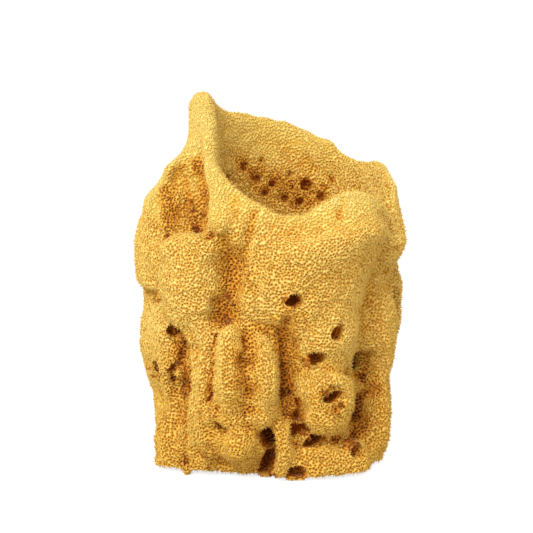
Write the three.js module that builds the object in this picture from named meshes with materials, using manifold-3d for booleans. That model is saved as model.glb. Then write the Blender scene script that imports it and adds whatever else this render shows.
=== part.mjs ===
// A dried vase sponge: one grown body with a deep cup, an uneven rolled lip, lobes and
// fingers on its wall, and the round and slit-shaped openings that water left it by.
// Millimetres, +Z up, the flat cut base at z = 0, the front facing -Y.
import * as THREE from 'three';
import { mergeVertices } from 'three/addons/utils/BufferGeometryUtils.js';
import Module from 'manifold-3d';

const wasm = await Module();
wasm.setup();

// Driving dimensions.
const BASE_HALF_WIDTH = 42; // along X, at the cut, without the lobes
const BASE_HALF_DEPTH = 37; // along Y, at the cut, without the lobes
const BELLY_GAIN = 6; // how far the wall leans out by the belly
const BELLY_HEIGHT = 90;
const WALL_ARC = 0.87; // millimetres of wall to a degree of bearing
const LIP_RADIUS = 4.3; // where it has no swell
const LIP_FLARE_START = 0.72; // share of the height where the wall turns towards the lip
const LIP_FLARE_END = 0.92;
const RELIEF_FADE_START = 0.9; // lobes die away between here and the lip
const DOME = 0.62; // how square a lobe's edge is
const CUP_CENTRE = new THREE.Vector2(10, 1);
const CUP_FLOOR = 40; // height of the cup's floor
const CUP_NECK = new THREE.Vector2(29, 27); // half width and half depth at the neck
const CUP_NECK_HEIGHT = 78;
const CUP_NECK_SHARE = 0.5; // share of the cup's profile above the neck
const LEAN_CENTRE_X = 4; // the crest goes round this point of the base
const GROUND = 400; // side of the slab that cuts the base flat

const SLICES = 92; // round the body
const FRONT_DETAIL = 0.36; // how much closer the slices stand at the front
const WALL_STEPS = 28; // up the outside
const LIP_STEPS = 3; // over the lip
const CUP_STEPS = 6; // down the inside
const HOLE_FACETS = 8; // round an opening
const HOLE_TAPER = 0.72; // an opening's inner end over its mouth
const WELD = 1e-3;

const SPONGE_YELLOW = 0xe0ae52;

// The crest of the lip, from the tall peak on the left round the back to the front.
const LIP_CREST = new THREE.CatmullRomCurve3(
  [
    [-25, 4, 151], // the peak
    [-18, 22, 143.5],
    [-2, 36, 139.5],
    [13, 40, 136],
    [27, 36, 129],
    [38, 27, 121.5],
    [47, 13, 121.5],
    [50.5, -2, 115],
    [48.5, -14, 102], // the notch beside the ear
    [44, -22, 110],
    [38, -29, 113.5], // the ear
    [29, -35, 113.5],
    [19, -39, 108],
    [10, -40, 105], // the low front
    [1, -40, 108],
    [-7, -39, 113.5],
    [-14, -37, 118.5],
    [-18.5, -33, 124],
    [-20, -27, 132],
    [-21, -18, 140],
    [-23.5, -8, 148],
  ].map(([x, y, z]) => new THREE.Vector3(x, y, z)),
  true,
  'centripetal',
);

// Where the lip is thicker. A bearing is the direction from the axis in degrees: 0 is the
// front, 90 the right. span is half the stretch in degrees, gain what the lip's radius gains.
const LIP_SWELLS = [
  { bearing: -98, span: 62, gain: 2.4 }, // the peak
  { bearing: -38, span: 24, gain: 1.4 }, // the long fold
  { bearing: 47, span: 26, gain: 1.6 }, // the ear
];

// Lobes that swell out of the wall and meet in creases. wide and tall are half sizes along
// the wall, out is how far the lobe stands off it, roll leans its top to the right.
const LOBES = [
  { bearing: -36, height: 77, wide: 19, tall: 23, out: 10.5, roll: 4 }, // front left
  { bearing: -21, height: 112, wide: 9, tall: 30, out: 9.5, roll: -4 }, // fold under the lip
  { bearing: -6, height: 104, wide: 13, tall: 22, out: 5 }, // between the fold and the bulge
  { bearing: -88, height: 82, wide: 25, tall: 22, out: 6 }, // left shoulder
  { bearing: -76, height: 102, wide: 13, tall: 14, out: 3.5 }, // its upper knob
  { bearing: -72, height: 120, wide: 9, tall: 9, out: 5 }, // small knob under the peak
  { bearing: -84, height: 47, wide: 22, tall: 21, out: 5.5 },
  { bearing: -56, height: 47, wide: 13, tall: 24, out: 6, roll: -4 },
  { bearing: -80, height: 12, wide: 22, tall: 22, out: 2.5 },
  { bearing: -56, height: 5, wide: 15, tall: 22, out: 9.5 },
  { bearing: -42, height: 12, wide: 12, tall: 24, out: 6 },
  { bearing: -15, height: 43, wide: 8, tall: 22, out: 13.5 }, // left finger
  { bearing: 0.5, height: 39, wide: 7.6, tall: 20, out: 13.5 }, // right finger
  { bearing: -27.5, height: 32, wide: 5.6, tall: 36, out: 11, roll: 2 }, // long ridge
  { bearing: -11, height: 15, wide: 11, tall: 12, out: 12.5 }, // swelling under the fingers
  { bearing: 9, height: 12, wide: 6, tall: 20, out: 9 }, // strip beside the slot
  { bearing: -8, height: 74, wide: 10, tall: 24, out: 3.5 }, // floor of the front valley
  { bearing: 25, height: 86, wide: 29, tall: 34, out: 11, roll: 4 }, // broad front-right bulge
  { bearing: 31, height: 58, wide: 17, tall: 18, out: 10 }, // mass between the openings
  { bearing: 32, height: 31, wide: 15, tall: 17, out: 12, roll: -8 }, // lump over the crescent
  { bearing: 32, height: 3, wide: 19, tall: 13, out: 10.5 },
  { bearing: 46, height: 3, wide: 13, tall: 14, out: 14 }, // foot at the front right
  { bearing: 69, height: 12, wide: 13, tall: 30, out: 10.5 },
  { bearing: 76, height: 50, wide: 13, tall: 26, out: 9.5, roll: -4 },
  { bearing: 72, height: 88, wide: 16, tall: 24, out: 5 },
  { bearing: 100, height: 97, wide: 18, tall: 26, out: 2.5 }, // right side
  { bearing: 94, height: 60, wide: 17, tall: 32, out: 10.5 },
  { bearing: 98, height: 12, wide: 17, tall: 34, out: 11 },
  { bearing: 126, height: 82, wide: 16, tall: 36, out: 8, roll: -8 }, // back
  { bearing: 126, height: 24, wide: 15, tall: 28, out: 8, roll: 5 },
  { bearing: 152, height: 98, wide: 18, tall: 26, out: 9, roll: 6 },
  { bearing: 150, height: 52, wide: 15, tall: 30, out: 10 },
  { bearing: 158, height: 8, wide: 19, tall: 21, out: 8 },
  { bearing: 180, height: 76, wide: 15, tall: 33, out: 11, roll: -6 },
  { bearing: 186, height: 32, wide: 14, tall: 26, out: 8, roll: 8 },
  { bearing: 204, height: 106, wide: 19, tall: 27, out: 9 },
  { bearing: 212, height: 60, wide: 16, tall: 28, out: 10, roll: -5 },
  { bearing: 212, height: 10, wide: 19, tall: 24, out: 8 },
  { bearing: 238, height: 88, wide: 17, tall: 32, out: 8, roll: 5 },
  { bearing: 242, height: 34, wide: 15, tall: 32, out: 7, roll: -6 },
  { bearing: 57, height: 3, wide: 13, tall: 13, out: 10 }, // foot below the right recess
];

// Hollows between the lobes, with the same half sizes, and how deep they go.
const HOLLOWS = [
  { bearing: -49, height: 107, wide: 12, tall: 17, deep: 7 }, // beside the fold
  { bearing: -39, height: 107, wide: 6.5, tall: 16, deep: 9 }, // its deep edge
  { bearing: -18, height: 77, wide: 6.5, tall: 20, deep: 4.5, roll: 4 }, // the front valley
  { bearing: 11.5, height: 38, wide: 4.5, tall: 24, deep: 7 }, // beside the right finger
  { bearing: 66, height: 100, wide: 6, tall: 12, deep: 7 }, // below the notch
  { bearing: 59, height: 42, wide: 6, tall: 10, deep: 5, roll: -20 },
  { bearing: 58, height: 22, wide: 5, tall: 17, deep: 7 },
  { bearing: -80, height: 66.5, wide: 14, tall: 6, deep: 3.5 }, // waist of the left side
  { bearing: -48, height: 26, wide: 5, tall: 26, deep: 5 },
];

// Openings in the wall, each a half width, a depth and a half height.
const HOLES = [
  { bearing: 23.5, height: 48.5, out: 8, size: [3.3, 19, 2.2], roll: 4 },
  { bearing: 29.5, height: 33.5, out: 9, size: [4.9, 19, 3.1], roll: -10 },
  { bearing: 31.5, height: 58.5, out: 8, size: [2.1, 15, 3.2], roll: 22 },
  { bearing: 12.3, height: 71.5, out: 8, size: [2.8, 15, 1.9], roll: 14 },
  { bearing: 9, height: 61, out: 6, size: [1.6, 13, 2.3] },
  { bearing: 17, height: 27, out: 5, size: [2.1, 19, 6.4], roll: -6 }, // crescent, upper part
  { bearing: 19, height: 19, out: 7, size: [4.4, 19, 2.6], roll: 40 }, // crescent, middle
  { bearing: 26, height: 14.8, out: 8, size: [6.2, 19, 2.2], roll: 4 }, // crescent, lower part
  { bearing: 2.3, height: 16.5, out: 8, size: [1.9, 19, 9], roll: -16 }, // slot, upper arm
  { bearing: 2.3, height: 6, out: 8, size: [1.9, 19, 9], roll: 20 }, // slot, lower arm
  { bearing: -25, height: 96.5, out: 7, size: [2.2, 9, 1.5] },
  { bearing: -46, height: 57, out: 6, size: [2.9, 9, 2.7] },
  { bearing: -61, height: 40.5, out: 6, size: [2.2, 8, 2.6] },
  { bearing: -46.5, height: 37, out: 6, size: [2.3, 12, 6.5], roll: -8 }, // left slit
  { bearing: -25.5, height: 46, out: 6, size: [1.2, 11, 9], roll: 2 }, // beside the left finger
  { bearing: -10, height: 47, out: 6, size: [1.2, 9, 3.4], roll: -4 }, // between the fingers
  { bearing: -21, height: 68, out: 5, size: [1.8, 7, 4.5], roll: -6 },
  { bearing: 63, height: 43.5, out: 4, size: [3.8, 13, 2], roll: -34 },
  { bearing: 45, height: 10, out: 5, size: [2.4, 12, 2.6] },
  { bearing: 68, height: 78, out: 6, size: [2, 8, 1.8] },
  { bearing: 15.5, height: 2.5, out: 5, size: [3.6, 9, 2.6] }, // open at the cut base
  { bearing: -15, height: 5.5, out: 9, size: [2, 7, 1.6] },
  { bearing: 84, height: 66, out: 4, size: [3, 12, 4.2], roll: 12 }, // sides and back
  { bearing: 112, height: 28, out: 3, size: [3, 14, 5.5], roll: -10 },
  { bearing: 112, height: 70, out: 3, size: [2.6, 12, 4] },
  { bearing: 138, height: 44, out: 3, size: [3.6, 15, 4.6], roll: 18 },
  { bearing: 139, height: 86, out: 3, size: [2.4, 11, 3.6] },
  { bearing: 166, height: 30, out: 3, size: [4.2, 15, 3], roll: 24 },
  { bearing: 166, height: 72, out: 3, size: [2.4, 12, 7], roll: 6 },
  { bearing: 196, height: 56, out: 3, size: [3.2, 15, 3.8] },
  { bearing: 198, height: 84, out: 3, size: [3, 11, 2.4], roll: -16 },
  { bearing: 225, height: 34, out: 3, size: [2.6, 15, 7.5], roll: -8 },
  { bearing: 226, height: 76, out: 3, size: [3.4, 12, 3.2] },
  { bearing: 254, height: 20, out: 4, size: [3.2, 13, 3.8] },
  { bearing: 254, height: 64, out: 4, size: [2.8, 12, 4.6], roll: 10 },
];

// Openings in the cup's back wall.
const CUP_HOLES = [
  { at: [-7, 29, 117], size: [2.4, 8, 1.6], turn: 20 },
  { at: [-2, 31, 112], size: [1.6, 8, 2.2], turn: 10 },
  { at: [5, 31, 109.5], size: [1.8, 8, 1.6] },
  { at: [17.5, 31, 108.5], size: [2.2, 8, 1.7], turn: -10 },
  { at: [23.5, 28, 103.5], size: [1.8, 7, 1.8], turn: -20 },
];

// Degrees from one bearing to another, the short way round.
function turnFrom(bearing, other) {
  return THREE.MathUtils.euclideanModulo(other - bearing + 180, 360) - 180;
}

// Distance from the middle of a lobe or hollow, where 1 is its edge.
function reach({ bearing, height, wide, tall, roll = 0 }, atBearing, atHeight) {
  const offset = new THREE.Vector2(turnFrom(bearing, atBearing) * WALL_ARC, atHeight - height);
  offset.rotateAround(new THREE.Vector2(), THREE.MathUtils.degToRad(roll));
  return Math.hypot(offset.x / wide, offset.y / tall);
}

function relief(bearing, height) {
  let off = 0;
  for (const lobe of LOBES) {
    const away = Math.min(reach(lobe, bearing, height), 1);
    off = Math.max(off, lobe.out * Math.pow(1 - away * away, DOME));
  }
  for (const hollow of HOLLOWS) {
    const away = Math.min(reach(hollow, bearing, height), 1);
    off -= hollow.deep * Math.pow(1 - away * away, 2);
  }
  return off;
}

function outwards(bearing) {
  const angle = THREE.MathUtils.degToRad(bearing);
  return new THREE.Vector3(Math.sin(angle), -Math.cos(angle), 0);
}

// The wall without its relief.
function wallPoint(bearing, height) {
  const rise = Math.min(height / BELLY_HEIGHT, 1);
  const swell = BELLY_GAIN * Math.sin((rise * Math.PI) / 2);
  const along = outwards(bearing);
  return new THREE.Vector3(
    (BASE_HALF_WIDTH + swell) * along.x,
    (BASE_HALF_DEPTH + swell) * along.y,
    height,
  );
}

// The body is a turned vase whose rings are then pulled out to the lobes and to the lip's crest.
function pottedBody() {
  const steps = 1 + WALL_STEPS + LIP_STEPS + CUP_STEPS;
  const unitProfile = [new THREE.Vector2(0, 0)];
  for (let i = 0; i < steps; i++) unitProfile.push(new THREE.Vector2(1, i + 1));
  unitProfile.push(new THREE.Vector2(0, steps + 1));
  const geometry = new THREE.LatheGeometry(unitProfile, SLICES);
  const position = geometry.getAttribute('position');
  for (let slice = 0; slice <= SLICES; slice++) {
    const ring = sliceProfile(LIP_CREST.getPointAt(crestShare((slice % SLICES) / SLICES)));
    ring.forEach((p, i) => position.setXYZ(slice * ring.length + i, p.x, p.y, p.z));
  }
  return geometry;
}

// Share of the way back along the crest, which starts and ends on the left.
function crestShare(turn) {
  const around = 2 * Math.PI;
  return 1 - turn - (FRONT_DETAIL * (1 - Math.cos(around * turn))) / around;
}

function lipRadius(bearing) {
  let radius = LIP_RADIUS;
  for (const swell of LIP_SWELLS) {
    const away = Math.min(Math.abs(turnFrom(swell.bearing, bearing)) / swell.span, 1);
    radius += swell.gain * Math.pow(1 - away * away, 2);
  }
  return radius;
}

// One slice, from the middle of the base up the wall, over the lip, down to the cup's floor.
function sliceProfile(crest) {
  const bearing = THREE.MathUtils.radToDeg(Math.atan2(crest.x - LEAN_CENTRE_X, -crest.y));
  const along = outwards(bearing);
  const overLip = new THREE.Vector3(crest.x - CUP_CENTRE.x, crest.y - CUP_CENTRE.y, 0).normalize();
  const radius = lipRadius(bearing);
  const lipCentre = crest.clone().setZ(crest.z - radius);
  const lipFoot = lipCentre.clone().addScaledVector(overLip, radius);
  const points = [new THREE.Vector3(0, 0, 0)];
  for (let i = 0; i <= WALL_STEPS; i++) {
    const share = i / WALL_STEPS;
    const height = share * lipFoot.z;
    const turn = THREE.MathUtils.smoothstep(share, LIP_FLARE_START, LIP_FLARE_END);
    const fade = 1 - THREE.MathUtils.smoothstep(share, RELIEF_FADE_START, 1);
    const wall = wallPoint(bearing, height).lerp(lipFoot, turn).setZ(height);
    points.push(wall.addScaledVector(along, relief(bearing, height) * fade));
  }
  for (let i = 1; i <= LIP_STEPS; i++) {
    const roll = (i / LIP_STEPS) * Math.PI;
    const over = lipCentre.clone().addScaledVector(overLip, radius * Math.cos(roll));
    points.push(over.setZ(lipCentre.z + radius * Math.sin(roll)));
  }
  const innerLip = points.at(-1);
  for (let i = 1; i <= CUP_STEPS; i++) {
    const share = i / (CUP_STEPS + 1);
    points.push(cupPoint(innerLip, along, share));
  }
  points.push(new THREE.Vector3(CUP_CENTRE.x, CUP_CENTRE.y, CUP_FLOOR));
  return points;
}

// The cup narrows from the lip to its neck, then closes like a bowl.
function cupPoint(innerLip, along, share) {
  const inNeck = Math.min(share / CUP_NECK_SHARE, 1);
  const inBowl = Math.max((share - CUP_NECK_SHARE) / (1 - CUP_NECK_SHARE), 0);
  const close = Math.sqrt(1 - inBowl * inBowl);
  const neck = new THREE.Vector3(
    CUP_CENTRE.x + CUP_NECK.x * along.x * close,
    CUP_CENTRE.y + CUP_NECK.y * along.y * close,
    CUP_NECK_HEIGHT,
  );
  const point = innerLip.clone().lerp(neck, THREE.MathUtils.smoothstep(inNeck, 0, 1));
  const down = THREE.MathUtils.lerp(innerLip.z, CUP_NECK_HEIGHT, inNeck);
  return point.setZ(THREE.MathUtils.lerp(down, CUP_FLOOR, inBowl));
}

function solidOf(geometry) {
  const bare = geometry.clone();
  bare.deleteAttribute('normal');
  bare.deleteAttribute('uv');
  const merged = mergeVertices(bare, WELD);
  return new wasm.Manifold(
    new wasm.Mesh({
      numProp: 3,
      vertProperties: new Float32Array(merged.getAttribute('position').array),
      triVerts: new Uint32Array(merged.getIndex().array),
    }),
  );
}

// A unit shape stretched and set down. turn is about Z, roll leans its top sideways, in degrees.
function placed(geometry, { at, size, turn = 0, roll = 0 }) {
  const piece = new THREE.Mesh(geometry);
  piece.position.set(...at);
  piece.rotation.set(0, THREE.MathUtils.degToRad(roll), THREE.MathUtils.degToRad(turn), 'ZYX');
  piece.scale.set(...size);
  piece.updateMatrixWorld(true);
  return solidOf(geometry.applyMatrix4(piece.matrixWorld));
}

// The same for a shape on the wall; out moves its middle off the wall.
function onWall(geometry, { bearing, height, out, size, roll }) {
  const middle = wallPoint(bearing, height).addScaledVector(outwards(bearing), out);
  return placed(geometry, { at: middle.toArray(), size, turn: bearing, roll });
}

// A tapered channel that lies along Y with its wide mouth to the front.
function channel() {
  return new THREE.CylinderGeometry(HOLE_TAPER, 1, 2, HOLE_FACETS);
}

function ground() {
  const slab = new THREE.BoxGeometry(GROUND, GROUND, GROUND);
  slab.translate(0, 0, -GROUND / 2);
  return solidOf(slab);
}

// The box's middle is put over the origin, so the base rests centred under it.
function centred(geometry) {
  geometry.computeBoundingBox();
  const middle = geometry.boundingBox.getCenter(new THREE.Vector3());
  return geometry.translate(-middle.x, -middle.y, 0);
}

function sponge() {
  let body = solidOf(pottedBody());
  for (const hole of HOLES) body = body.subtract(onWall(channel(), hole));
  for (const hole of CUP_HOLES) body = body.subtract(placed(channel(), hole));
  const grown = body.subtract(ground()).getMesh();
  const geometry = new THREE.BufferGeometry();
  geometry.setAttribute('position', new THREE.BufferAttribute(grown.vertProperties, 3));
  geometry.setIndex(new THREE.BufferAttribute(grown.triVerts, 1));
  geometry.computeVertexNormals();
  return new THREE.Mesh(
    centred(geometry),
    new THREE.MeshStandardMaterial({ color: SPONGE_YELLOW, roughness: 0.95, metalness: 0 }),
  );
}

const object = new THREE.Group();
const body = sponge();
body.name = 'sponge';
object.add(body);
export default object;
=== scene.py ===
import math

import bpy
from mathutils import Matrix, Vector
from mathutils.bvhtree import BVHTree


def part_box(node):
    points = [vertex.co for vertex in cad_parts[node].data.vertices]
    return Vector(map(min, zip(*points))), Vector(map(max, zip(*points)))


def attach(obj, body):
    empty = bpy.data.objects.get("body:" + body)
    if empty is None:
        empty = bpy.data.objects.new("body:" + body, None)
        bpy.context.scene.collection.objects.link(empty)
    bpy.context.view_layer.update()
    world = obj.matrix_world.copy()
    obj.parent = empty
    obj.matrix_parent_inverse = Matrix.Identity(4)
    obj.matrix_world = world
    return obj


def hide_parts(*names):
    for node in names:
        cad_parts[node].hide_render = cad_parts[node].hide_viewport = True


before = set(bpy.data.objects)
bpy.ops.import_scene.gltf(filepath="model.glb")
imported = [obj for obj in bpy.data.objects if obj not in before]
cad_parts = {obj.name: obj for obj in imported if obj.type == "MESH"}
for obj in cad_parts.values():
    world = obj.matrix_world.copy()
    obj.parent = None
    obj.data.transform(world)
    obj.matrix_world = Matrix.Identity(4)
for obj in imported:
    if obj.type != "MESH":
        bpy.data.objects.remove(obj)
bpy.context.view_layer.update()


def selectOnly(*objects):
    for other in list(bpy.context.selected_objects):
        other.select_set(False)
    for ob in objects:
        ob.select_set(True)
    bpy.context.view_layer.objects.active = objects[-1] if objects else None


def applyModifier(ob, kind, **settings):
    selectOnly(ob)
    modifier = ob.modifiers.new(kind.title(), kind)
    for name, value in settings.items():
        setattr(modifier, name, value)
    bpy.ops.object.modifier_apply(modifier=modifier.name)


def applyNodes(ob, tree, values):
    # values go to the tree's inputs by name
    selectOnly(ob)
    modifier = ob.modifiers.new("Nodes", "NODES")
    modifier.node_group = tree
    for name, value in values.items():
        modifier[tree.interface.items_tree[name].identifier] = value
    bpy.ops.object.modifier_apply(modifier=modifier.name)


def smooth(ob, passes):
    applyModifier(ob, "SMOOTH", iterations=passes, factor=0.5)


def linear(red, green, blue):
    # screen colour, 0 to 255, to the linear colour that nodes take
    def channel(value):
        value /= 255
        return value / 12.92 if value <= 0.04045 else ((value + 0.055) / 1.055) ** 2.4
    return (channel(red), channel(green), channel(blue), 1)


def addNode(tree, kind, column=0, row=0, **settings):
    spacing = 190  # between two nodes in the editor
    node = tree.nodes.new(kind)
    node.location = (column * spacing, -row * spacing)
    for name, value in settings.items():
        setattr(node, name, value)
    return node


def newTree(name, kind, inputs, outputs, endColumn):
    # inputs and outputs are kinds of socket by name
    tree = bpy.data.node_groups.new(name, kind + "NodeTree")
    for side, sockets in (("INPUT", inputs), ("OUTPUT", outputs)):
        for label, socketKind in sockets.items():
            tree.interface.new_socket(label, in_out=side, socket_type="NodeSocket" + socketKind)
    return tree, addNode(tree, "NodeGroupInput"), addNode(tree, "NodeGroupOutput", endColumn)


def setInputs(node, values):
    for name, value in values.items():
        node.inputs[name].default_value = value


def wire(tree, source, target):
    tree.links.new(source, target)


def wireOrSet(tree, value, socket):
    if isinstance(value, (int, float, tuple)):
        socket.default_value = value
    else:
        wire(tree, value, socket)


def mathNode(tree, operation, first, second=None, third=None, column=0, row=0, clamp=False):
    node = addNode(tree, "ShaderNodeMath", column, row, operation=operation, use_clamp=clamp)
    for socket, value in zip(node.inputs, (first, second, third)):
        if value is not None:
            wireOrSet(tree, value, socket)
    return node.outputs[0]


def vectorNode(tree, operation, first, second, column=0, row=0):
    node = addNode(tree, "ShaderNodeVectorMath", column, row, operation=operation)
    wire(tree, first, node.inputs[0])
    wireOrSet(tree, second, node.inputs["Scale" if operation == "SCALE" else 1])
    return node.outputs["Value" if operation == "DOT_PRODUCT" else "Vector"]


def ramp(tree, value, low, high, outLow=0.0, outHigh=1.0, column=0, row=0):
    # smooth step from outLow to outHigh while value goes from low to high
    node = addNode(tree, "ShaderNodeMapRange", column, row, interpolation_type="SMOOTHSTEP")
    wire(tree, value, node.inputs["Value"])
    setInputs(node, {"From Min": low, "From Max": high, "To Min": outLow, "To Max": outHigh})
    return node.outputs["Result"]


def separate(tree, vector, column=0, row=0):
    node = addNode(tree, "ShaderNodeSeparateXYZ", column, row)
    wire(tree, vector, node.inputs[0])
    return node.outputs


def noiseNode(tree, place, scale, detail, column=0, row=0):
    node = addNode(tree, "ShaderNodeTexNoise", column, row)
    wire(tree, place, node.inputs["Vector"])
    setInputs(node, {"Scale": scale, "Detail": detail})
    return node.outputs


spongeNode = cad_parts["sponge"]
low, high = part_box("sponge")
print("frame loaded, sponge is", [round((b - a) * 1000, 1) for a, b in zip(low, high)], "mm")


# camera, light and floor
studio = {
    "elevation": 8.0,  # degrees above level
    "distance": 0.6,
    "lens": 100,
    "sensor": 36,
    "clipStart": 0.01,
    "aim": (-0.0012, 0.0, 0.0781),
    "skyStrength": 0.55,  # how strongly the room lights the sponge
    "skyColour": (1, 0.9, 0.74, 1),
    "backdrop": 1.0,  # how white the room itself looks
    "lightAim": (0, 0, 0.07),
    "keyPower": 5.6,
    "keySize": 0.5,
    "keyPlace": (-0.26, -0.62, 0.56),
    "fillPower": 1.2,
    "fillSize": 0.5,
    "fillPlace": (0.75, -0.35, 0.45),
    "floorSize": 8,
    "floorHeight": -0.0003,  # just clear of the cut end
    "floorTone": 0.6,
    "floorRoughness": 0.9,
    "floorGlow": 0.8,  # a lit table, as the camera sees it, so only a thin shadow is left
}


def makeCamera():
    lift = math.radians(studio["elevation"])
    back = Vector((0, -math.cos(lift), math.sin(lift)))
    bpy.ops.object.camera_add(location=Vector(studio["aim"]) + back * studio["distance"])
    camera = bpy.context.object
    camera.name = "camera"
    camera.rotation_euler = (-back).to_track_quat("-Z", "Y").to_euler()
    camera.data.lens = studio["lens"]
    camera.data.sensor_width = studio["sensor"]
    camera.data.clip_start = studio["clipStart"]
    bpy.context.scene.camera = camera


def makeLight(name):
    place = Vector(studio[name + "Place"])
    bpy.ops.object.light_add(type="AREA", location=place)
    light = bpy.context.object
    light.name = name
    light.data.size = studio[name + "Size"]
    light.data.energy = studio[name + "Power"]
    light.rotation_euler = (Vector(studio["lightAim"]) - place).to_track_quat("-Z", "Y").to_euler()


def makeRoom():
    # the camera sees a white room, and the sponge is lit by a warmer one
    world = bpy.data.worlds.new("studio white")
    bpy.context.scene.world = world
    world.use_nodes = True
    tree = world.node_tree
    lighting = tree.nodes["Background"]
    setInputs(lighting, {"Color": studio["skyColour"], "Strength": studio["skyStrength"]})
    backdrop = addNode(tree, "ShaderNodeBackground", 0, 2)
    setInputs(backdrop, {"Color": (1, 1, 1, 1), "Strength": studio["backdrop"]})
    seen = addNode(tree, "ShaderNodeMixShader", 1)
    wire(tree, addNode(tree, "ShaderNodeLightPath").outputs["Is Camera Ray"], seen.inputs[0])
    wire(tree, lighting.outputs[0], seen.inputs[1])
    wire(tree, backdrop.outputs[0], seen.inputs[2])
    wire(tree, seen.outputs[0], tree.nodes["World Output"].inputs["Surface"])
    bpy.context.scene.view_settings.view_transform = "Standard"


def makeFloor():
    bpy.ops.mesh.primitive_plane_add(size=studio["floorSize"], location=(0, 0, studio["floorHeight"]))
    floor = bpy.context.object
    floor.name = "floor"
    paper = bpy.data.materials.new("white paper")
    paper.use_nodes = True
    tree = paper.node_tree
    shader = tree.nodes["Principled BSDF"]
    tone = studio["floorTone"]
    setInputs(shader, {"Base Color": (tone, tone, tone, 1), "Roughness": studio["floorRoughness"],
                       "Emission Color": (1, 1, 1, 1)})
    looked = addNode(tree, "ShaderNodeLightPath", -2).outputs["Is Camera Ray"]
    glow = mathNode(tree, "MULTIPLY", looked, studio["floorGlow"], column=-1)
    wire(tree, glow, shader.inputs["Emission Strength"])
    floor.data.materials.append(paper)


selectOnly()
makeCamera()
makeLight("key")
makeLight("fill")
makeRoom()
makeFloor()
print("studio ready")


# the body under the fibres, a fine copy of the CAD solid with its creases carved
flesh = {
    "merge": 0.00001,  # joins the corners of the CAD's loose triangles
    "grain": 0.00105,  # voxel size while it is carved
    "fineGrain": 0.00047,  # voxel size once it is finished
    "rounding": 5,  # smoothing passes over the CAD facets
    "fineRounding": 6,  # smoothing passes over the carved places
    "inset": 0.0016,  # room that it leaves for the peaks under the CAD surface
    "waveSize": 0.007,
    "waveHeight": 0.0016,
    "waveMiddle": 0.6,  # more of the waves sink in than stand out
    "poreSpacing": 0.00107,  # least distance between two pores
    "poreCrowd": 6,  # places tried for a pore, so that few gaps are left
    "poreSeed": 3,
    "poreEdge": (0.00024, 0.00064),  # from a pore's middle to the top of its rim
    "poreDepth": 0.001,
    "finePoreDepth": 0.3,  # share of that depth in the fine skin at the top
    "flatEnd": 0.0015,  # pores begin above this height
    "ground": 0.0002,  # nothing goes below this height
}


def makeFlesh():
    selectOnly()
    copy = spongeNode.copy()
    copy.data = spongeNode.data.copy()
    bpy.context.collection.objects.link(copy)
    copy.parent = None
    copy.name = copy.data.name = "flesh"
    selectOnly(copy)
    bpy.ops.object.mode_set(mode="EDIT")
    bpy.ops.mesh.select_all(action="SELECT")
    bpy.ops.mesh.remove_doubles(threshold=flesh["merge"])
    bpy.ops.object.mode_set(mode="OBJECT")
    applyModifier(copy, "REMESH", mode="VOXEL", voxel_size=flesh["grain"])
    smooth(copy, flesh["rounding"])
    applyModifier(copy, "DISPLACE", mid_level=0, strength=-flesh["inset"])
    return copy


fleshBody = makeFlesh()
print("flesh:", len(fleshBody.data.polygons), "faces")
wall = BVHTree.FromObject(fleshBody, bpy.context.evaluated_depsgraph_get())

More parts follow.
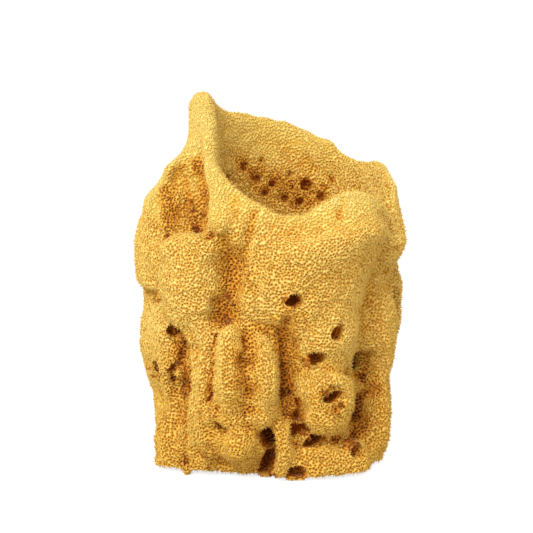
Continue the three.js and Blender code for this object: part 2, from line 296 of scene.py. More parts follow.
# Each line runs over the wall through (bearing, height) places, in degrees from the front
# round to the right and in millimetres. wide is half its width and deep how far it goes in.
creases = [
    # edge of the long fold, then the deep place beside it
    {"line": [(-57, 127), (-56, 120), (-55, 113), (-51, 105), (-37, 98)], "wide": 3, "deep": 3.4},
    {"line": [(-61, 112), (-57, 104), (-50, 100)], "wide": 11, "deep": 7},
    {"line": [(-62, 93), (-50, 97), (-40, 98), (-30, 96)], "wide": 3.2, "deep": 3.2},  # over the left bulge
    {"line": [(-56, 90), (-51, 84), (-55, 76)], "wide": 4, "deep": 2},
    {"line": [(-70, 107), (-68, 97)], "wide": 4, "deep": 1.5},
    {"line": [(-22, 93), (-20, 85), (-21, 75), (-23, 64)], "wide": 7, "deep": 3.6},  # front valley
    {"line": [(-7, 104), (-10, 95), (-13, 87), (-17, 78)], "wide": 3.4, "deep": 2.6},
    {"line": [(-18, 110), (-15, 104), (-16, 97)], "wide": 5, "deep": 1.4},
    {"line": [(-48, 54), (-49, 42), (-50, 32), (-48, 18), (-47, 2)], "wide": 2.8, "deep": 3.2},  # by a ridge
    {"line": [(-26, 58), (-26, 50), (-27, 40), (-28, 33)], "wide": 2.2, "deep": 5.5},  # left of a finger
    {"line": [(-12, 58), (-11, 51), (-10, 43), (-9, 35)], "wide": 2.4, "deep": 1.8},  # between the fingers
    {"line": [(8, 64), (8, 56), (9, 47), (10, 38), (11, 28)], "wide": 3.2, "deep": 3},  # right of a finger
    {"line": [(-5, 24), (-6, 16), (-9, 7)], "wide": 2, "deep": 1.2},
    {"line": [(67, 42), (65, 34), (63, 27), (62, 21)], "wide": 5, "deep": 6},  # right of the lump
    {"line": [(30, 13), (43, 15), (58, 14)], "wide": 2.6, "deep": 2},
    {"line": [(28, 45), (40, 42), (56, 38)], "wide": 3, "deep": 1.5},
    {"line": [(70, 99), (67, 88)], "wide": 3, "deep": 2},
    {"line": [(71, 77)], "wide": 3.5, "deep": 2.5},
    {"line": [(40, 113), (37, 108), (32, 103)], "wide": 3.4, "deep": 2},  # fold of the ear
    {"line": [(-88, 69), (-73, 68), (-56, 70)], "wide": 4, "deep": 2.2},  # waist of the left side
    {"line": [(8, 63), (8, 59)], "wide": 2.6, "deep": 6},
    {"line": [(-30, 64), (-20, 66), (-10, 62), (0, 59), (7, 57)], "wide": 4, "deep": 2.2},  # over fingers
    {"line": [(-12, 50)], "wide": 2, "deep": 4},
    {"line": [(14, 26), (15, 21), (20, 16), (27, 14)], "wide": 3, "deep": 5},  # crescent
    {"line": [(-66, 40), (-62, 24), (-66, 6)], "wide": 3.2, "deep": 2},
    {"line": [(108, 104), (112, 84), (108, 60), (112, 36), (114, 4)], "wide": 4, "deep": 3},  # right and back
    {"line": [(86, 96), (88, 72), (84, 44), (86, 12)], "wide": 3.6, "deep": 2.4},
    {"line": [(139, 112), (137, 88), (141, 62), (136, 36), (140, 4)], "wide": 4, "deep": 3.4},
    {"line": [(166, 112), (169, 84), (163, 58), (168, 30), (172, 4)], "wide": 4.4, "deep": 3.6},
    {"line": [(196, 114), (192, 88), (199, 62), (200, 34), (196, 4)], "wide": 4, "deep": 3.2},
    {"line": [(224, 118), (222, 92), (228, 66), (226, 38), (229, 4)], "wide": 4, "deep": 3.4},
    {"line": [(254, 116), (252, 88), (256, 60), (252, 30), (256, 4)], "wide": 3.6, "deep": 2.8},
    {"line": [(141, 62), (152, 68), (163, 58)], "wide": 3, "deep": 2},
    {"line": [(199, 62), (212, 80), (222, 92)], "wide": 3, "deep": 2},
]
# these stand out instead
ridges = [
    # the long fold
    {"line": [(-36, 128), (-32, 121), (-30, 114), (-27, 107), (-23, 100)], "wide": 6, "deep": 1.8},
    {"line": [(-72, 118), (-69, 121)], "wide": 5, "deep": 2},  # knob under the peak
    {"line": [(-50, 89), (-42, 93), (-32, 93), (-27, 90)], "wide": 6, "deep": 2.6},  # top of the left bulge
    {"line": [(-20, 60), (-18, 54), (-17, 43), (-17, 31)], "wide": 6.5, "deep": 3},  # fingers
    {"line": [(-3, 56), (-3, 53)], "wide": 5, "deep": 1.2},
    {"line": [(-28, 27), (-21, 27), (-13, 26), (-6, 26)], "wide": 6, "deep": 4},
    {"line": [(-40, 55), (-38, 42), (-38, 30), (-38, 17)], "wide": 6, "deep": 2.8},
    {"line": [(-16, 22), (-15, 14)], "wide": 7, "deep": 2.2},
    {"line": [(27, 38), (31, 29), (30, 22)], "wide": 12, "deep": 2},
    {"line": [(8, 22), (7, 14), (6, 5)], "wide": 4, "deep": 1.2},
    {"line": [(73, 40), (72, 23), (72, 6)], "wide": 4, "deep": 1.2},
    {"line": [(98, 96), (100, 70)], "wide": 8, "deep": 1.2},
]


# pits on the front and low on the cup's back wall:
# place along X, height, half width and depth in millimetres
frontPits = [
    (-37.3, 57, 3.6, 6), (-45.7, 40, 2.8, 4), (-37.2, 41.5, 3.2, 6), (-36.8, 37, 3, 6), (-36.4, 33, 2.6, 4.5),
]
cupPits = [
    (-10, 116, 3, 7), (-5, 111, 2.6, 7), (2, 109, 2.6, 6), (15, 108, 3.1, 7), (21, 103.5, 2.9, 6),
    (-1, 105.5, 2.4, 5), (7, 103, 2.6, 5), (13, 101.5, 2.6, 5), (9, 113, 2, 3), (-3, 119, 1.8, 3),
    (26, 111, 1.8, 2.5), (-7, 113, 2, 5), (18, 105, 2.2, 5), (10, 107, 1.8, 4),
]


# places in creases and recesses where the skin is frayed and darkened brown as painted shade, each a line on
# the wall
frayedAndShadedLines = [
    [(-64, 115), (-59, 108), (-55, 103), (-48, 99)],
    [(-58, 118), (-54, 110), (-50, 104)],
    [(-66, 108), (-60, 100)],
    [(-20, 92), (-19, 85), (-20, 75), (-22, 64)],
    [(8, 64), (9, 50), (10, 38), (12, 28)],
    [(66, 42), (64, 30), (60, 18)],
    [(-47, 54), (-49, 38), (-49, 24)],
    [(-12, 50), (-10, 40)],
]
# and places in the cup, along X and up
frayedAndShadedCup = [(-10, 117), (-6, 112), (-1, 107), (4, 110), (7, 104), (13, 103), (16, 108), (21, 104)]


# how the guides are laid on the wall, in millimetres
guideLaying = {
    "outside": 200,  # rays towards the middle start this far from it
    "front": -200,  # where along Y the rays for the front's pits start
    "cup": 0,  # and those for the cup's
    "degree": 0.8,  # way along the wall for one degree
    "step": 1.5,  # between two points of a line
}


def wallPlace(bearing, height):
    angle = math.radians(bearing)
    out = Vector((math.sin(angle), -math.cos(angle), 0))
    start = Vector((0, 0, height / 1000)) + out * (guideLaying["outside"] / 1000)
    return wall.ray_cast(start, -out)[0]


def linePoints(places):
    points = [wallPlace(*places[0])]
    for (bearing, height), (nextBearing, nextHeight) in zip(places, places[1:]):
        turn = nextBearing - bearing
        rise = nextHeight - height
        count = max(2, round(math.hypot(turn * guideLaying["degree"], rise) / guideLaying["step"]))
        for i in range(1, count + 1):
            share = i / count
            points.append(wallPlace(bearing + turn * share, height + rise * share))
    return points


def pitPlace(across, height, start):
    return wall.ray_cast(Vector((across, start, height)) / 1000, Vector((0, 1, 0)))[0]


def guideObject(points):
    points = [point for point in points if point is not None]  # a place above the lip has no wall
    mesh = bpy.data.meshes.new("guide")
    mesh.from_pydata(points, [], [])
    guide = bpy.data.objects.new("guide", mesh)
    bpy.context.collection.objects.link(guide)
    return guide


def distanceTo(tree, points, column, row):
    node = addNode(tree, "GeometryNodeProximity", column, row, target_element="POINTS")
    wire(tree, points, node.inputs[0])
    return node.outputs["Distance"]


def carvingTree():
    # moves the skin along its normal near the guide, by Move at the guide and by nothing Reach away
    tree, start, end = newTree("carve along a guide", "Geometry",
                               {"Geometry": "Geometry", "Guide": "Object", "Reach": "Float", "Move": "Float"},
                               {"Geometry": "Geometry"}, 8)
    info = addNode(tree, "GeometryNodeObjectInfo", 1, 1)
    wire(tree, start.outputs["Guide"], info.inputs["Object"])
    near = distanceTo(tree, info.outputs["Geometry"], 2, 1)
    away = mathNode(tree, "DIVIDE", near, start.outputs["Reach"], column=3, row=1)
    share = ramp(tree, away, 1, 0, column=4, row=1)
    amount = mathNode(tree, "MULTIPLY", share, start.outputs["Move"], column=5, row=1)
    normal = addNode(tree, "GeometryNodeInputNormal", 5, 2).outputs[0]
    moved = addNode(tree, "GeometryNodeSetPosition", 7)
    wire(tree, start.outputs["Geometry"], moved.inputs["Geometry"])
    wire(tree, vectorNode(tree, "SCALE", normal, amount, 6, 1), moved.inputs["Offset"])
    wire(tree, moved.outputs[0], end.inputs[0])
    return tree


carving = carvingTree()


def carve(points, wide, move):
    guide = guideObject(points)
    applyNodes(fleshBody, carving, {"Guide": guide, "Reach": wide / 1000, "Move": move / 1000})
    bpy.data.objects.remove(guide)


def finishFlesh():
    applyModifier(fleshBody, "REMESH", mode="VOXEL", voxel_size=flesh["fineGrain"])
    smooth(fleshBody, flesh["fineRounding"])
    waves = bpy.data.textures.new("waves", "CLOUDS")
    waves.noise_scale = flesh["waveSize"]
    waves.noise_depth = 1
    applyModifier(fleshBody, "DISPLACE", texture=waves, texture_coords="LOCAL",
                  mid_level=flesh["waveMiddle"], strength=flesh["waveHeight"])
    smooth(fleshBody, 1)
    fleshBody.data.shade_smooth()


for item in ridges:
    carve(linePoints(item["line"]), item["wide"], item["deep"])
for item in creases:
    carve(linePoints(item["line"]), item["wide"], -item["deep"])
for pits, start in ((frontPits, guideLaying["front"]), (cupPits, guideLaying["cup"])):
    for across, height, wide, deep in pits:
        carve([pitPlace(across, height, start)], wide, -deep)
finishFlesh()
print("carved:", len(fleshBody.data.polygons), "faces")


def namedValue(tree, attribute, row):
    node = addNode(tree, "GeometryNodeInputNamedAttribute", 0, row, data_type="FLOAT")
    node.inputs["Name"].default_value = attribute
    return node.outputs["Attribute"]


# what the surface is like at each place, read by the peaks and the colours
surfaceRead = {
    "creaseSpread": 90,  # blur passes that find creases and small openings
    "creaseDepth": 0.0017,
    "valleySpread": 620,  # blur passes that find the wide valleys
    "valleyDepth": 0.004,
    "cupMiddle": (0.009, 0.001),
    "cupFacing": (0.004, -0.008),  # from skin that faces away from that middle to skin that faces it
    "velvetStartOutside": 0.1,  # height where the skin turns fine
    "velvetStartInside": 0.118,
    "velvetBand": 0.022,
    "velvetWander": 0.03,  # how far that height goes up and down
    "velvetScale": 60,
    "tightReach": 0.008,  # a wall nearer than this, straight ahead, makes a place tight
    "tightStart": 0.0003,  # rays start this far off the skin, so that they miss it
    "tightSpread": 6,
    "frayedAndShadedReach": (0.0075, 0.0015),  # how far from its lines a frayed, shaded place fades out
    "frayedAndShadedWander": 0.014,
    "frayedAndShadedScale": 170,
    "ragged": 0.0032,  # how far the skin wanders round openings
    "raggedFrayed": 0.5,  # share of that at frayed, shaded places
    "raggedTight": 0.35,  # as tight as this is fully ragged
    "raggedScale": 330,
    "detail": 2,  # of all the noise above
}


def surfaceReader(frayedAndShaded):
    tree, start, end = newTree("read the surface", "Geometry", {"Geometry": "Geometry"},
                               {"Geometry": "Geometry"}, 14)
    position = addNode(tree, "GeometryNodeInputPosition", 0, 2).outputs[0]
    normal = addNode(tree, "GeometryNodeInputNormal", 0, 3).outputs[0]
    stored = start.outputs[0]

    def store(name, value, column):
        nonlocal stored
        node = addNode(tree, "GeometryNodeStoreNamedAttribute", column, 0, data_type="FLOAT", domain="POINT")
        node.inputs["Name"].default_value = name
        wire(tree, stored, node.inputs["Geometry"])
        wire(tree, value, node.inputs["Value"])
        stored = node.outputs["Geometry"]

    def sunkenness(spread, depth, row):
        blur = addNode(tree, "GeometryNodeBlurAttribute", 2, row, data_type="FLOAT_VECTOR")
        wire(tree, position, blur.inputs["Value"])
        blur.inputs["Iterations"].default_value = spread
        away = vectorNode(tree, "SUBTRACT", blur.outputs["Value"], position, 3, row)
        below = vectorNode(tree, "DOT_PRODUCT", away, normal, 4, row)
        return mathNode(tree, "DIVIDE", below, depth, column=5, row=row)

    def wander(scale, reach, column, row):
        # noise from about minus half the reach to plus half of it
        noise = noiseNode(tree, position, scale, surfaceRead["detail"], column, row)[0]
        return mathNode(tree, "MULTIPLY_ADD", noise, reach, -reach / 2, column=column + 1, row=row)

    # how near the next wall is, straight out from the skin: 1 inside slits and openings
    outward = vectorNode(tree, "SCALE", normal, surfaceRead["tightStart"], 2, 8)
    ray = addNode(tree, "GeometryNodeRaycast", 4, 8, data_type="FLOAT")
    wire(tree, start.outputs[0], ray.inputs["Target Geometry"])
    wire(tree, vectorNode(tree, "ADD", position, outward, 3, 8), ray.inputs["Source Position"])
    wire(tree, normal, ray.inputs["Ray Direction"])
    reach = surfaceRead["tightReach"]
    ray.inputs["Ray Length"].default_value = reach
    near = ramp(tree, ray.outputs["Hit Distance"], reach, reach * 0.5, column=5, row=8)
    hit = mathNode(tree, "MULTIPLY", ray.outputs["Is Hit"], near, column=6, row=8)
    tight = addNode(tree, "GeometryNodeBlurAttribute", 6, 9, data_type="FLOAT")
    wire(tree, hit, tight.inputs[0])
    tight.inputs["Iterations"].default_value = surfaceRead["tightSpread"]
    store("tight", tight.outputs[0], 6)

    # frayed places, which the colours also darken as painted shade
    info = addNode(tree, "GeometryNodeObjectInfo", 4, 11)
    info.inputs["Object"].default_value = frayedAndShaded
    close = distanceTo(tree, info.outputs["Geometry"], 5, 11)
    unevenly = wander(surfaceRead["frayedAndShadedScale"], surfaceRead["frayedAndShadedWander"], 4, 12)
    reached = mathNode(tree, "ADD", close, unevenly, column=6, row=11)
    store("frayedAndShaded", ramp(tree, reached, *surfaceRead["frayedAndShadedReach"], column=7, row=11), 7)
    store("crease", sunkenness(surfaceRead["creaseSpread"], surfaceRead["creaseDepth"], 1), 8)
    store("valley", sunkenness(surfaceRead["valleySpread"], surfaceRead["valleyDepth"], 2), 9)

    # facing the cup's middle, so inside it
    place = separate(tree, position, 1, 4)
    facing = separate(tree, normal, 1, 5)
    offX = mathNode(tree, "SUBTRACT", place["X"], surfaceRead["cupMiddle"][0], column=2, row=4)
    offY = mathNode(tree, "SUBTRACT", place["Y"], surfaceRead["cupMiddle"][1], column=2, row=5)
    alongX = mathNode(tree, "MULTIPLY", offX, facing["X"], column=3, row=4)
    alongY = mathNode(tree, "MULTIPLY", offY, facing["Y"], column=3, row=5)
    away = mathNode(tree, "ADD", alongX, alongY, column=4, row=4)
    inside = ramp(tree, away, *surfaceRead["cupFacing"], column=5, row=4)
    store("inside", inside, 10)

    # the skin turns fine from a wandering height up
    wobble = wander(surfaceRead["velvetScale"], surfaceRead["velvetWander"], 2, 6)
    raised = mathNode(tree, "ADD", place["Z"], wobble, column=5, row=6)
    edge = ramp(tree, inside, 0, 1, surfaceRead["velvetStartOutside"], surfaceRead["velvetStartInside"],
                column=6, row=5)
    above = mathNode(tree, "SUBTRACT", raised, edge, column=7, row=6)
    half = surfaceRead["velvetBand"] / 2
    store("velvet", ramp(tree, above, -half, half, column=8, row=6), 11)

    # pores lie evenly over the skin: 0 in the middle of one, 1 on the net between them
    spacing = flesh["poreSpacing"]
    pores = addNode(tree, "GeometryNodeDistributePointsOnFaces", 8, 8, distribute_method="POISSON")
    wire(tree, start.outputs[0], pores.inputs["Mesh"])
    setInputs(pores, {"Distance Min": spacing, "Density Max": flesh["poreCrowd"] / spacing ** 2,
                      "Seed": flesh["poreSeed"]})
    nearest = distanceTo(tree, pores.outputs["Points"], 9, 8)
    store("net", ramp(tree, nearest, *flesh["poreEdge"], column=10, row=8), 12)

    # openings and frayed, shaded places have ragged skin
    rough = noiseNode(tree, position, surfaceRead["raggedScale"], surfaceRead["detail"], 9, 4)
    shift = vectorNode(tree, "SUBTRACT", rough["Color"], (0.5, 0.5, 0.5), 10, 4)
    opening = ramp(tree, tight.outputs[0], 0, surfaceRead["raggedTight"], column=9, row=5)
    frayedAndShadedHere = namedValue(tree, "frayedAndShaded", 12)
    fraying = mathNode(tree, "MULTIPLY", frayedAndShadedHere, surfaceRead["raggedFrayed"], column=9, row=6)
    most = mathNode(tree, "MAXIMUM", opening, fraying, column=10, row=5)
    amount = mathNode(tree, "MULTIPLY", most, surfaceRead["ragged"], column=11, row=5)
    frayed = addNode(tree, "GeometryNodeSetPosition", 13)
    wire(tree, stored, frayed.inputs["Geometry"])
    wire(tree, vectorNode(tree, "SCALE", shift, amount, 12, 4), frayed.inputs["Offset"])
    wire(tree, frayed.outputs[0], end.inputs[0])
    return tree


frayedAndShadedPoints = [point for line in frayedAndShadedLines for point in linePoints(line)]
frayedAndShaded = guideObject(frayedAndShadedPoints + [pitPlace(across, height, guideLaying["cup"]) for across, height in frayedAndShadedCup])
applyNodes(fleshBody, surfaceReader(frayedAndShaded), {})
bpy.data.objects.remove(frayedAndShaded)
print("surface read")


# parts of the sponge, from the left by the front all round it, and then the cup
outerNames = ["LeftFront", "FrontLeft", "FrontRight", "RightFront",
              "RightBack", "BackRight", "BackLeft", "LeftBack"]
partNames = outerNames + ["CupLeft", "CupRight"]


def partGroup():
    # whether a place is in the part that Part counts off in partNames
    tree, start, end = newTree("part of the sponge", "Geometry", {"Part": "Float"}, {"Here": "Bool"}, 10)
    outerCount = len(outerNames)
    place = separate(tree, addNode(tree, "GeometryNodeInputPosition", 0, 3).outputs[0], 1, 3)
    bearing = mathNode(tree, "ARCTAN2", place["Y"], place["X"], column=2)
    fromLeft = mathNode(tree, "ADD", bearing, math.pi, column=3)
    turns = mathNode(tree, "DIVIDE", fromLeft, math.tau / outerCount, column=4)
    outer = mathNode(tree, "MINIMUM", mathNode(tree, "FLOOR", turns, column=5), outerCount - 1, column=6)
    inCup = mathNode(tree, "GREATER_THAN", namedValue(tree, "inside", 1), 0.5, column=2, row=1)
    outside = mathNode(tree, "SUBTRACT", 1, inCup, column=6, row=1)
    outerPart = mathNode(tree, "MULTIPLY", outer, outside, column=7)
    cupSide = mathNode(tree, "GREATER_THAN", place["X"], surfaceRead["cupMiddle"][0], column=6, row=2)
    cupNumber = mathNode(tree, "ADD", cupSide, outerCount, column=7, row=2)
    cupPart = mathNode(tree, "MULTIPLY", inCup, cupNumber, column=8, row=2)
    part = mathNode(tree, "ADD", cupPart, outerPart, column=8)
    wire(tree, mathNode(tree, "COMPARE", part, start.outputs["Part"], 0.1, column=9), end.inputs["Here"])
    return tree


partNodes = partGroup()


def aboveGround(tree, geometry, column, row):
    # the cut end is flat, so nothing passes the ground
    position = addNode(tree, "GeometryNodeInputPosition", column - 4, row).outputs[0]
    place = separate(tree, position, column - 3, row)
    lifted = addNode(tree, "ShaderNodeCombineXYZ", column - 1, row)
    wire(tree, place["X"], lifted.inputs["X"])
    wire(tree, place["Y"], lifted.inputs["Y"])
    height = mathNode(tree, "MAXIMUM", place["Z"], flesh["ground"], column=column - 2, row=row)
    wire(tree, height, lifted.inputs["Z"])
    cut = addNode(tree, "GeometryNodeSetPosition", column, row)
    wire(tree, geometry, cut.inputs["Geometry"])
    wire(tree, lifted.outputs[0], cut.inputs["Position"])
    return cut.outputs["Geometry"]


def fleshPartTree():
    # presses the pores in and keeps one part
    tree, start, end = newTree("pores of one part", "Geometry", {"Geometry": "Geometry", "Part": "Float"},
                               {"Geometry": "Geometry"}, 8)
    sunk = mathNode(tree, "SUBTRACT", namedValue(tree, "net", 2), 1, column=3, row=2)
    depth = flesh["poreDepth"]
    shallow = ramp(tree, namedValue(tree, "velvet", 3), 0, 1, depth, depth * flesh["finePoreDepth"], 3, 3)
    amount = mathNode(tree, "MULTIPLY", sunk, shallow, column=4, row=2)
    normal = addNode(tree, "GeometryNodeInputNormal", 4, 1).outputs[0]
    # the sponge rests on its cut end, which stays flat
    height = separate(tree, addNode(tree, "GeometryNodeInputPosition", 3, 4).outputs[0], 4, 4)["Z"]
    above = mathNode(tree, "GREATER_THAN", height, flesh["flatEnd"], column=5, row=4)
    pitted = addNode(tree, "GeometryNodeSetPosition", 6)
    wire(tree, start.outputs["Geometry"], pitted.inputs["Geometry"])
    wire(tree, above, pitted.inputs["Selection"])
    wire(tree, vectorNode(tree, "SCALE", normal, amount, 5, 2), pitted.inputs["Offset"])
    here = addNode(tree, "GeometryNodeGroup", 5, 5, node_tree=partNodes)
    wire(tree, start.outputs["Part"], here.inputs["Part"])
    kept = addNode(tree, "GeometryNodeSeparateGeometry", 7, domain="FACE")
    wire(tree, aboveGround(tree, pitted.outputs[0], 6, 7), kept.inputs[0])
    wire(tree, here.outputs["Here"], kept.inputs["Selection"])
    wire(tree, kept.outputs["Selection"], end.inputs[0])
    return tree


def copyWith(name, tree, part):
    # a copy of the whole flesh, cut down or planted by the tree for one part
    selectOnly()
    piece = fleshBody.copy()
    piece.data = fleshBody.data.copy()
    bpy.context.collection.objects.link(piece)
    piece.name = piece.data.name = name
    applyNodes(piece, tree, {"Part": float(part)})
    return piece


poreTree = fleshPartTree()
fleshParts = [copyWith("flesh" + partName, poreTree, i) for i, partName in enumerate(partNames)]
for piece in fleshParts:
    print(piece.name, len(piece.data.polygons), "faces")


# the short peaks that the fibres end in
peak = {
    "radius": 0.00022,
    "height": 0.001,
    "root": 0.0003,  # how deep it stands in the flesh
    "sides": 4,
    "leans": (0.0, 0.0003, 0.0006),  # how far the tip stands off the middle
    "crowd": 4,  # places tried for a peak, so that few gaps are left
    "tightEdge": (0.5, 0.1),  # tight places are left bare
    "creaseEdge": (0.0, 0.9),  # and in creases they are shorter
    "creaseLength": 0.7,
}


def makePeak(name, lean):
    selectOnly()
    length = peak["height"] + peak["root"]
    bpy.ops.mesh.primitive_cone_add(vertices=peak["sides"], radius1=peak["radius"], radius2=0, depth=length,
                                    location=(0, 0, length / 2 - peak["root"]))
    ob = bpy.context.object
    bpy.ops.object.transform_apply(location=True, rotation=True, scale=True)
    ob.name = ob.data.name = name
    for vertex in ob.data.vertices:
        vertex.select = vertex.co.z > 0
    bpy.ops.object.mode_set(mode="EDIT")
    bpy.ops.transform.translate(value=(lean, 0, 0))
    bpy.ops.object.mode_set(mode="OBJECT")
    lift = ob.data.attributes.new("lift", "FLOAT", "POINT")
    for vertex in ob.data.vertices:
        lift.data[vertex.index].value = max(0, vertex.co.z / peak["height"])
    return ob


peaks = [makePeak("peak" + str(i), lean) for i, lean in enumerate(peak["leans"])]
print("peaks modelled")

# a pile grows from none to all of it while the velvet attribute goes between two values
coarsePile = {
    "spacing": 0.00062,
    "tilt": 0.35,
    "scale": (0.7, 1.1),
    "velvet": (0.95, 0.3),
    "seed": 5,
}
velvetPile = {
    "spacing": 0.00062,
    "tilt": 0.3,
    "scale": (0.5, 0.75),
    "velvet": (0.1, 0.7),
    "seed": 11,
}


def pileTree(name, pile):
    # plants peaks on the part that the Part input names, and leaves the flesh itself out
    tree, start, end = newTree(name, "Geometry", {"Geometry": "Geometry", "Part": "Float"},
                               {"Geometry": "Geometry"}, 16)

    wanted = ramp(tree, namedValue(tree, "velvet", 2), *pile["velvet"], column=2, row=2)
    openly = ramp(tree, namedValue(tree, "tight", 5), *peak["tightEdge"], column=2, row=3)
    points = addNode(tree, "GeometryNodeDistributePointsOnFaces", 4, 1, distribute_method="POISSON")
    wire(tree, start.outputs["Geometry"], points.inputs["Mesh"])
    setInputs(points, {"Distance Min": pile["spacing"], "Density Max": peak["crowd"] / pile["spacing"] ** 2,
                       "Seed": pile["seed"]})
    wire(tree, mathNode(tree, "MULTIPLY", wanted, openly, column=3, row=2), points.inputs["Density Factor"])

    # peaks stand on the net's walls, and its pores stay bare
    luck = addNode(tree, "FunctionNodeRandomValue", 6, 6, data_type="FLOAT")
    luck.inputs["Seed"].default_value = pile["seed"] + 7
    beside = mathNode(tree, "GREATER_THAN", namedValue(tree, "net", 6), luck.outputs[1], column=7, row=5)
    here = addNode(tree, "GeometryNodeGroup", 6, 7, node_tree=partNodes)
    wire(tree, start.outputs["Part"], here.inputs["Part"])
    keep = mathNode(tree, "MULTIPLY", beside, here.outputs["Here"], column=8, row=6)

    shade = addNode(tree, "FunctionNodeRandomValue", 6, 0, data_type="FLOAT")
    shade.inputs["Seed"].default_value = pile["seed"] + 2
    stored = addNode(tree, "GeometryNodeStoreNamedAttribute", 7, 0, data_type="FLOAT", domain="POINT")
    stored.inputs["Name"].default_value = "shade"
    wire(tree, points.outputs["Points"], stored.inputs["Geometry"])
    wire(tree, shade.outputs[1], stored.inputs["Value"])

    kinds = addNode(tree, "GeometryNodeJoinGeometry", 7, 10)
    for i, ob in enumerate(reversed(peaks)):
        info = addNode(tree, "GeometryNodeObjectInfo", 5, 10 + i)
        info.inputs["Object"].default_value = ob
        single = addNode(tree, "GeometryNodeGeometryToInstance", 6, 10 + i)
        wire(tree, info.outputs["Geometry"], single.inputs[0])
        wire(tree, single.outputs[0], kinds.inputs[0])

    lean = addNode(tree, "FunctionNodeRandomValue", 7, 2, data_type="FLOAT_VECTOR")
    lean.inputs[0].default_value = (-pile["tilt"], -pile["tilt"], -math.pi)
    lean.inputs[1].default_value = (pile["tilt"], pile["tilt"], math.pi)
    lean.inputs["Seed"].default_value = pile["seed"] + 3
    leaning = addNode(tree, "FunctionNodeEulerToRotation", 8, 2)
    wire(tree, lean.outputs[0], leaning.inputs[0])
    turned = addNode(tree, "FunctionNodeRotateRotation", 9, 2, rotation_space="LOCAL")
    wire(tree, points.outputs["Rotation"], turned.inputs["Rotation"])
    wire(tree, leaning.outputs[0], turned.inputs["Rotate By"])

    size = addNode(tree, "FunctionNodeRandomValue", 8, 3, data_type="FLOAT")
    size.inputs[2].default_value = pile["scale"][0]
    size.inputs[3].default_value = pile["scale"][1]
    size.inputs["Seed"].default_value = pile["seed"] + 4
    crease = namedValue(tree, "crease", 3)
    length = ramp(tree, crease, *peak["creaseEdge"], 1.0, peak["creaseLength"], 8, 4)
    shorter = mathNode(tree, "MULTIPLY", size.outputs[1], length, column=9, row=3)

    planted = addNode(tree, "GeometryNodeInstanceOnPoints", 12, 0)
    wire(tree, stored.outputs["Geometry"], planted.inputs["Points"])
    wire(tree, keep, planted.inputs["Selection"])
    wire(tree, kinds.outputs[0], planted.inputs["Instance"])
    planted.inputs["Pick Instance"].default_value = True
    wire(tree, turned.outputs[0], planted.inputs["Rotation"])
    wire(tree, shorter, planted.inputs["Scale"])
    real = addNode(tree, "GeometryNodeRealizeInstances", 13, 0)
    wire(tree, planted.outputs["Instances"], real.inputs[0])
    wire(tree, aboveGround(tree, real.outputs[0], 15, 2), end.inputs[0])
    return tree


coarseTree = pileTree("coarse pile", coarsePile)
velvetTree = pileTree("velvet pile", velvetPile)
piles = []
for i, partName in enumerate(partNames):
    coarse = copyWith("coarse", coarseTree, i)
    pile = copyWith("pile" + partName, velvetTree, i)
    selectOnly(coarse, pile)
    bpy.ops.object.join()
    piles.append(pile)
    print(pile.name, len(pile.data.polygons), "faces")
for ob in peaks:
    bpy.data.objects.remove(ob)
bpy.data.objects.remove(fleshBody)
print("peaks planted")


colours = {
    "pale": linear(255, 236, 152),
    "gold": linear(252, 210, 90),
    "amber": linear(230, 156, 40),
    "brown": linear(176, 98, 18),
    "deep": linear(128, 68, 14),
    "stops": ((0.2, "brown"), (0.42, "amber"), (0.72, "gold")),  # deep is at 0 and pale at 1
    "level": 0.22,  # where a surface starts between those, before what follows is added
    # painted highlight at fibre tips, painted shade at their roots and in pores
    "byLiftShading": 0.72,
    "byVelvet": 0.02,
    "byShade": 0.12,
    "byPatch": 0.2,
    # painted shade in creases, valleys and frayed places
    "byHollowShade": -0.5,
    # painted shade in slits and openings
    "byTightShade": -0.2,
    "byLowShade": -0.1,
    "low": (0.06, 0.012),  # painted shade towards the bottom: the skin darkens from the first height down to the second
    "patchScale": 45,
    "patchDetail": 3,
    "creaseEdge": (0.0, 0.9),
    "valleyEdge": (0.05, 1.1),
    "frayedPaintedShade": 0.6,  # painted shade: a frayed place is as dark as this much of a hollow
    "fleshPoreShading": (0.1, 0.75),  # painted shade in a pore and lighter net: lift of the flesh in a pore and on the net
    "fineShadeLift": 0.6,  # fine skin has at least this lift, even in a pore, so its pores get less painted shade
    "through": linear(120, 56, 12),  # painted glow: emission that stands in for light that the skeleton lets through into the openings
    "throughStrength": 0.3,
    "roughness": 0.8,
    "sheen": 0.15,
    "sheenRoughness": 0.5,
    "sheenTint": (1, 0.9, 0.65, 1),
    "specular": 0.2,
    "poreBump": 0.8,
}


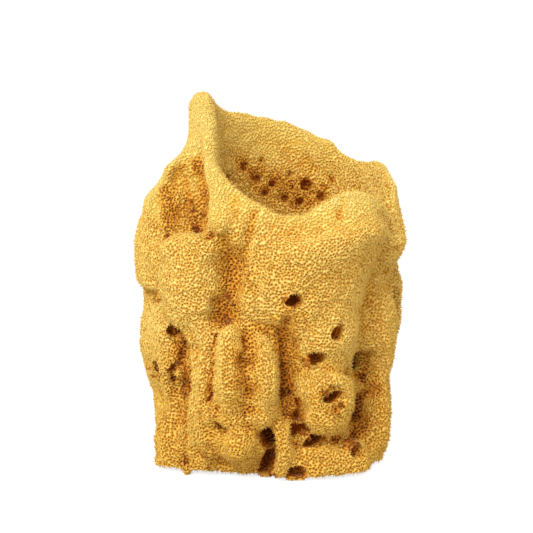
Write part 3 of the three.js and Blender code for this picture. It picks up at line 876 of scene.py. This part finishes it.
def spongeColourGroup():
    # Lift goes from 0 at a fibre's root to 1 at its tip
    inputs = {label: "Float" for label in ("Lift", "Hollow", "Velvet", "Shade", "Tight")}
    group, start, end = newTree("sponge colour", "Shader", inputs, {"Color": "Color"}, 9)
    coordinates = addNode(group, "ShaderNodeTexCoord", 0, 3).outputs["Object"]
    patches = noiseNode(group, coordinates, colours["patchScale"], colours["patchDetail"], 1, 3)[0]

    # level 0 is the bottom of a pore in a hollow, painted as shade, and 1 a tip in the light, painted as a
    # highlight
    raised = mathNode(group, "MULTIPLY", start.outputs["Lift"], colours["byLiftShading"], column=2)
    softened = mathNode(group, "MULTIPLY_ADD", start.outputs["Velvet"], colours["byVelvet"], raised, column=3)
    varied = mathNode(group, "MULTIPLY_ADD", start.outputs["Shade"], colours["byShade"], softened, column=4)
    patchy = mathNode(group, "MULTIPLY_ADD", patches, colours["byPatch"], varied, column=5)
    # painted shade in creases and valleys
    sunk = mathNode(group, "MULTIPLY_ADD", start.outputs["Hollow"], colours["byHollowShade"], patchy, column=6)
    # painted shade, darker towards the bottom
    height = separate(group, coordinates, 1, 4)["Z"]
    lowShade = ramp(group, height, *colours["low"], outHigh=colours["byLowShade"], column=2, row=4)
    lower = mathNode(group, "ADD", sunk, lowShade, column=6, row=1)
    # painted shade in openings
    level = mathNode(group, "MULTIPLY_ADD", start.outputs["Tight"], colours["byTightShade"], lower, column=7)
    shifted = mathNode(group, "ADD", level, colours["level"], column=7, row=1, clamp=True)
    tones = addNode(group, "ShaderNodeValToRGB", 8)
    stops = tones.color_ramp.elements
    stops[0].color = colours["deep"]
    stops[1].color = colours["pale"]
    for position, name in colours["stops"]:
        stops.new(position).color = colours[name]
    wire(group, shifted, tones.inputs[0])
    wire(group, tones.outputs["Color"], end.inputs[0])
    return group


colourGroup = spongeColourGroup()


def spongeMaterial(name, isFlesh):
    # flesh gets its lift from the net, and a fibre from its own length
    material = bpy.data.materials.new(name)
    material.use_nodes = True
    tree = material.node_tree
    shader = tree.nodes["Principled BSDF"]
    setInputs(shader, {"Roughness": colours["roughness"], "Sheen Weight": colours["sheen"],
                       "Sheen Roughness": colours["sheenRoughness"], "Sheen Tint": colours["sheenTint"],
                       "Specular IOR Level": colours["specular"],
                       "Emission Strength": colours["throughStrength"]})
    tone = addNode(tree, "ShaderNodeGroup", -2, 0, node_tree=colourGroup)

    def read(attribute, row):
        return addNode(tree, "ShaderNodeAttribute", -6, row, attribute_name=attribute).outputs["Fac"]

    # painted shade: creases and valleys are darkened
    crease = ramp(tree, read("crease", 1), *colours["creaseEdge"], column=-5, row=1)
    valley = ramp(tree, read("valley", 2), *colours["valleyEdge"], column=-5, row=2)
    creaseAndValleyShade = mathNode(tree, "MAXIMUM", crease, valley, column=-4, row=1)
    frayedAndShaded = read("frayedAndShaded", 6)
    # painted shade: frayed places are darkened like a hollow
    frayedPaintedShade = mathNode(tree, "MULTIPLY", frayedAndShaded, colours["frayedPaintedShade"], column=-4, row=6)
    wire(tree, mathNode(tree, "MAXIMUM", creaseAndValleyShade, frayedPaintedShade, column=-3, row=1), tone.inputs["Hollow"])
    whole = mathNode(tree, "SUBTRACT", 1, frayedAndShaded, column=-5, row=6)
    fine = mathNode(tree, "MULTIPLY", read("velvet", 4), whole, column=-4, row=4)
    wire(tree, fine, tone.inputs["Velvet"])
    # openings get painted shade and a faint painted glow
    tight = read("tight", 5)
    wire(tree, tight, tone.inputs["Tight"])
    through = addNode(tree, "ShaderNodeValToRGB", -2, 6)
    through.color_ramp.elements[1].color = colours["through"]
    wire(tree, tight, through.inputs[0])
    wire(tree, through.outputs["Color"], shader.inputs["Emission Color"])
    if isFlesh:
        # painted shade in the pores, lighter on the net between them
        onWall = read("net", 7)
        poreShade = ramp(tree, onWall, 0, 1, *colours["fleshPoreShading"], -5, 7)
        fineShadeLift = mathNode(tree, "MULTIPLY", fine, colours["fineShadeLift"], column=-5, row=8)
        wire(tree, mathNode(tree, "MAXIMUM", poreShade, fineShadeLift, column=-4, row=7), tone.inputs["Lift"])
        bump = addNode(tree, "ShaderNodeBump", -2, 3)
        setInputs(bump, {"Strength": colours["poreBump"], "Distance": flesh["poreDepth"]})
        wire(tree, onWall, bump.inputs["Height"])
        wire(tree, bump.outputs[0], shader.inputs["Normal"])
    else:
        # painted shade at a fibre's root and a painted highlight at its tip
        wire(tree, read("lift", 0), tone.inputs["Lift"])
        wire(tree, read("shade", 3), tone.inputs["Shade"])
    wire(tree, tone.outputs[0], shader.inputs["Base Color"])
    return material


fleshMaterial = spongeMaterial("sponge flesh", True)
fibreMaterial = spongeMaterial("sponge fibre", False)

for piece in fleshParts + piles:
    piece.data.materials.clear()
    piece.data.materials.append(fibreMaterial if piece in piles else fleshMaterial)
    piece.data.shade_smooth()
    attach(piece, "root")
    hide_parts("sponge")
print("coloured,", sum(len(piece.data.polygons) for piece in fleshParts + piles), "faces in all")
